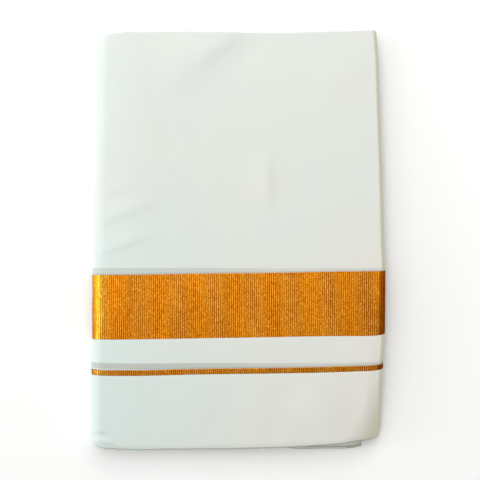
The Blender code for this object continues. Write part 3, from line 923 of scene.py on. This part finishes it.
def edge_wander(s, v, seed):
    """How far the ends of the ply that shows are out of straight."""
    near_hem = 1 - smooth_step(0.0, WANDER_REACH, v)
    near_fold = smooth_step(LENGTH - WANDER_REACH, LENGTH, v)
    moves = [far * drift(s, every, seed + i) for i, (far, every) in enumerate(EDGE_WANDER)]
    return (moves[0] + moves[1]) * near_hem + (moves[2] + moves[3]) * near_fold


def strip_stops(first, last):
    stops = STRIP.stops([PLY_COLUMN] * 9, (5, 12, 16, 9, 12, 5, 10))
    return stops[(stops >= first - 1e-9) & (stops <= last + 1e-9)]


def ply_patch(along, rows_v, rows_depth, seed, loose, hem_side, set_back=0.0):
    """Rows of points swept along the strip, wandering in and out together."""
    rows_depth = np.broadcast_to(rows_depth, rows_v.shape)
    s, v = np.meshgrid(along, rows_v, indexing="ij")
    v = v + np.reshape(set_back, (-1, 1))
    distance = v if hem_side else LENGTH - v
    share = 1 - smooth_step(0.0, PLY_REACH, distance)
    wander = loose * (drift(s, 0.024, seed) + 0.45 * drift(s, 0.0065, seed + 1)) * share
    sink = 0.00006 * drift(s, 0.012, seed + 2) * share
    across = np.broadcast_to(length_along(rows_v, rows_depth), s.shape)
    return (*lay(s, v + (wander if hem_side else -wander), rows_depth + sink), s, across)


# Rows of points in from a ply's edge, and in from where a ply turns
EDGE_ROWS = np.array((0.0, 0.0006, 0.0018, 0.004, 0.008, PLY_REACH))
TURN_ROWS = np.array((0.0018, 0.005, PLY_REACH))
SECOND_PLY_IN = 0.0018  # how far the second ply of a hidden leaf lies in from the first
THIRD_PLY_IN = 0.0007  # and the fold of the third and the fourth
FAR_FOLD_IN = 0.0011  # and the fold of the second and the third, at the pressed folds
HEM_LOOSE, FOLD_LOOSE, SECOND_LOOSE = 0.0005, 0.0004, 0.0006  # how far the plies wander


def leaf_edges(along, inset, outer, seed):
    """The ends of a leaf's plies along a stretch of the strip. The outer leaf's first ply is
    outer_cloth, so it isn't made here."""
    patches = []
    second = border_shift(along) if outer else inset + SECOND_PLY_IN
    if not outer:
        patches.append(ply_patch(along, inset + EDGE_ROWS, PLY[0], seed, HEM_LOOSE, True))
        fold_v, fold_depth = far_fold(PLY_TURN, PLY[0], LENGTH - inset, 6, TURN_ROWS)
        lead = LENGTH - inset - PLY_TURN - TURN_ROWS[::-1]
        fold_v = np.concatenate([lead, fold_v])
        fold_depth = np.concatenate([np.full(len(lead), PLY[0]), fold_depth])
        patches.append(ply_patch(along, fold_v, fold_depth, seed + 10, FOLD_LOOSE, False))
    patches.append(ply_patch(along, EDGE_ROWS, PLY[1], seed + 20, SECOND_LOOSE, True, second))

    small = PLY_PITCH / 2
    angle = np.linspace(0, np.pi, 5)
    lead = TURN_ROWS[::-1]
    turned = small * (1 - np.cos(angle))
    level = np.ones(len(TURN_ROWS))
    hem_v = np.concatenate([lead, small - small * np.sin(angle), TURN_ROWS]) + inset + THIRD_PLY_IN
    hem_depth = np.concatenate([PLY[3] * level, PLY[3] - turned, PLY[2] * level])
    patches.append(ply_patch(along, hem_v[::-1], hem_depth[::-1], seed + 30, HEM_LOOSE, True))
    end = LENGTH - inset - FAR_FOLD_IN
    bend = end - small + small * np.sin(angle)
    fold_v = np.concatenate([end - lead, bend, end - TURN_ROWS])
    fold_depth = np.concatenate([PLY[2] * level, PLY[2] - turned, PLY[1] * level])
    patches.append(ply_patch(along, fold_v, fold_depth, seed + 40, FOLD_LOOSE, False))
    return patches


UNDER_LEAF = 0.0011  # how far below the outer leaf's right side the solid inside starts
CUT_END_IN = 0.002  # how far the plies of a cut end stop short of the hem and of the folds
CUT_END_STEP = 0.0004  # how far each ply of a cut end lies behind the one above it


def cut_end(first, into, inset, seed):
    """The four plies at one cut end, from hem to folds: first is the end, into is +1 or -1."""
    patches = []
    for number, depth in enumerate(PLY):
        rows_v = np.linspace(inset + CUT_END_IN, LENGTH - inset - CUT_END_IN, 90)
        s, v = np.meshgrid(EDGE_ROWS, rows_v, indexing="ij")
        ragged = 0.0006 * drift(v, 0.019, seed + number)
        ragged += 0.0003 * drift(v, 0.005, seed + number + 7)
        s = s + (ragged + CUT_END_STEP * number) * (1 - s / PLY_REACH)
        along = first + into * s
        x, y, z = lay(along, v, depth)
        if into < 0:
            x, y, z, along, v = (a[::-1] for a in (x, y, z, along, v))
        patches.append((x, y, z, along, v))
    return patches


def inner_solid():
    """What the hidden plies share away from the edges: one solid, round at the spine."""
    radius = MIDDLE - UNDER_LEAF
    turn = np.linspace(np.pi / 2, 3 * np.pi / 2, 13)
    profile = [(MIDDLE + radius * np.cos(a), MIDDLE + radius * np.sin(a)) for a in turn]
    low_x, high_x = LOWER_EDGE - PLY_REACH, WIDTH - UPPER_NOSE - 0.002
    profile += [(low_x, MIDDLE - radius), (low_x, MIDDLE - 0.0006)]
    profile += [(high_x - 0.012, MIDDLE + 0.0006), (high_x - 0.004, MIDDLE + 0.003)]
    profile = np.array([*profile, (high_x - 0.004, MIDDLE + radius)])
    rows_v = np.linspace(PLY_REACH - 0.001, LENGTH - PLY_REACH + 0.001, 24)
    bm = bmesh.new()
    x, v, z = np.broadcast_arrays(profile[:, 0], rows_v[:, None], profile[:, 1])
    places = np.stack(settle(x, v, z), -1).tolist()
    rings = [[bm.verts.new(place) for place in ring] for ring in places]
    for ring, later in zip(rings, rings[1:]):
        for corners in zip(ring, ring[1:] + ring[:1], later[1:] + later[:1], later):
            bm.faces.new(corners)
    bm.faces.new(rings[0][::-1])
    bm.faces.new(rings[-1])
    bmesh.ops.recalc_face_normals(bm, faces=bm.faces)
    mesh = bpy.data.meshes.new("inner_solid")
    bm.to_mesh(mesh)
    bm.free()
    return mesh


def hidden_leaves(finish):
    """All the plies behind the one that shows, as their edges and ends, round one solid."""
    patches = []
    stretches = (
        # from, to,       inset,  outer, seed
        (0.0, TUCK_IN, 0.0017, False, 100),
        (TUCK_IN, TUCK_OUT, 0.0003, True, 200),
        (TUCK_OUT, LEGS[-1], 0.0010, False, 300),
    )
    for first, last, inset, outer, seed in stretches:
        along = np.union1d(strip_stops(first, last), [first, last])
        patches += leaf_edges(along, inset, outer, seed)
    patches += cut_end(0.0, 1, 0.0017, 400)
    patches += cut_end(LEGS[-1], -1, 0.0010, 500)
    obj = new_piece("hidden_leaves_plies", patches, finish)
    keep_evaluated(obj)
    bm = bmesh.new()
    bm.from_mesh(obj.data)
    bm.from_mesh(inner_solid())
    bm.to_mesh(obj.data)
    bm.free()
    obj.data.shade_smooth()
    obj.data.set_sharp_from_angle(angle=np.radians(50))
    return obj


# ---- stage

FRAME_WIDTH = 0.3662  # what the picture takes in at the top of the pack
CAMERA_ABOVE = 0.90  # how far above the pack's top the camera is
CENTRE_X = 0.0012
SENSOR = 36.0
FLOOR_SIZE = 40
ROOM_LEVEL = 0.655  # the pale room's light
ROOM_GROWS = (-0.10, 0.0, 0.0)  # and how it grows towards the left
ROOM_LEFT = linear("#FAFFFF")  # cool from the left, warm from the right
ROOM_RIGHT = linear("#FFFBF2")
LIGHTS = (
    # name, place, size, power. Each is turned towards the pack.
    ("window", (0.05, 0.66, 0.55), (0.60, 0.40), 1.6),
    ("ceiling panel", (-0.17, 0.30, 0.90), (0.60, 0.60), 2.0),
    # The two below stand far off, so that the floor before them is lit evenly in low views
    ("low wall of light", (-7.20, 0.00, 1.05), (1.50, 3.00), 182.0),
    ("wall above it", (-5.70, 0.00, 3.60), (4.20, 3.60), 54.0),
)


def camera():
    made = new_object("camera", bpy.data.cameras.new("camera"))
    made.location = (CENTRE_X, 0.0, HEIGHT + CAMERA_ABOVE)
    made.data.sensor_width = SENSOR
    made.data.lens = SENSOR * CAMERA_ABOVE / FRAME_WIDTH
    bpy.context.scene.camera = made


def light(name, place, size, power):
    made = new_object(name, bpy.data.lights.new(name, "AREA"))
    made.data.shape = "RECTANGLE"
    made.data.size, made.data.size_y = size
    made.data.energy = power
    made.location = place
    made.rotation_euler = (-Vector(place)).to_track_quat("-Z", "Y").to_euler()
    made.visible_camera = False


def stage():
    bpy.ops.mesh.primitive_plane_add(size=FLOOR_SIZE)
    floor = bpy.context.active_object
    floor.name = "floor"
    floor.data.materials.append(floor_material())
    world = bpy.data.worlds.new("studio")
    world.use_nodes = True
    add = partial(add_node, world.node_tree)
    direction = add("ShaderNodeTexCoord", out="Generated")
    towards = add("ShaderNodeVectorMath", (direction, ROOM_GROWS), "Value", operation="DOT_PRODUCT")
    level = add("ShaderNodeMath", (towards, ROOM_LEVEL), operation="ADD")
    part = add("ShaderNodeSeparateXYZ", (direction,), "X")
    side = add("ShaderNodeMapRange", (part, -1.0, 1.0))
    colour = add("ShaderNodeMix", {0: side, 6: ROOM_LEFT, 7: ROOM_RIGHT}, **COLOURS)
    plug_in(world.node_tree.nodes["Background"], {"Color": colour, "Strength": level})
    bpy.context.scene.world = world
    for lamp in LIGHTS:
        light(*lamp)
    bpy.context.scene.view_settings.view_transform = "Standard"


cotton = cotton_material()
zari = zari_material()
ribbed = ribbed_tree()

outer = outer_cloth(cotton)
band = ribbed_piece("zari_band_woven", ribbed, *BAND, rows=19, finish=zari, seed=5)
line = ribbed_piece("zari_line_woven", ribbed, *LINE, rows=5, finish=zari, seed=6)
hidden = hidden_leaves(cotton)

for piece, nodes, finish in (
    (outer, ("hem_cloth", "border_cloth", "body_cloth"), "cotton"),
    (band, ("zari_band",), "zari"),
    (line, ("zari_line",), "zari"),
    (hidden, ("hidden_leaves",), "cotton"),
):
    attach(piece, "root")
    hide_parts(*nodes)

camera()
stage()
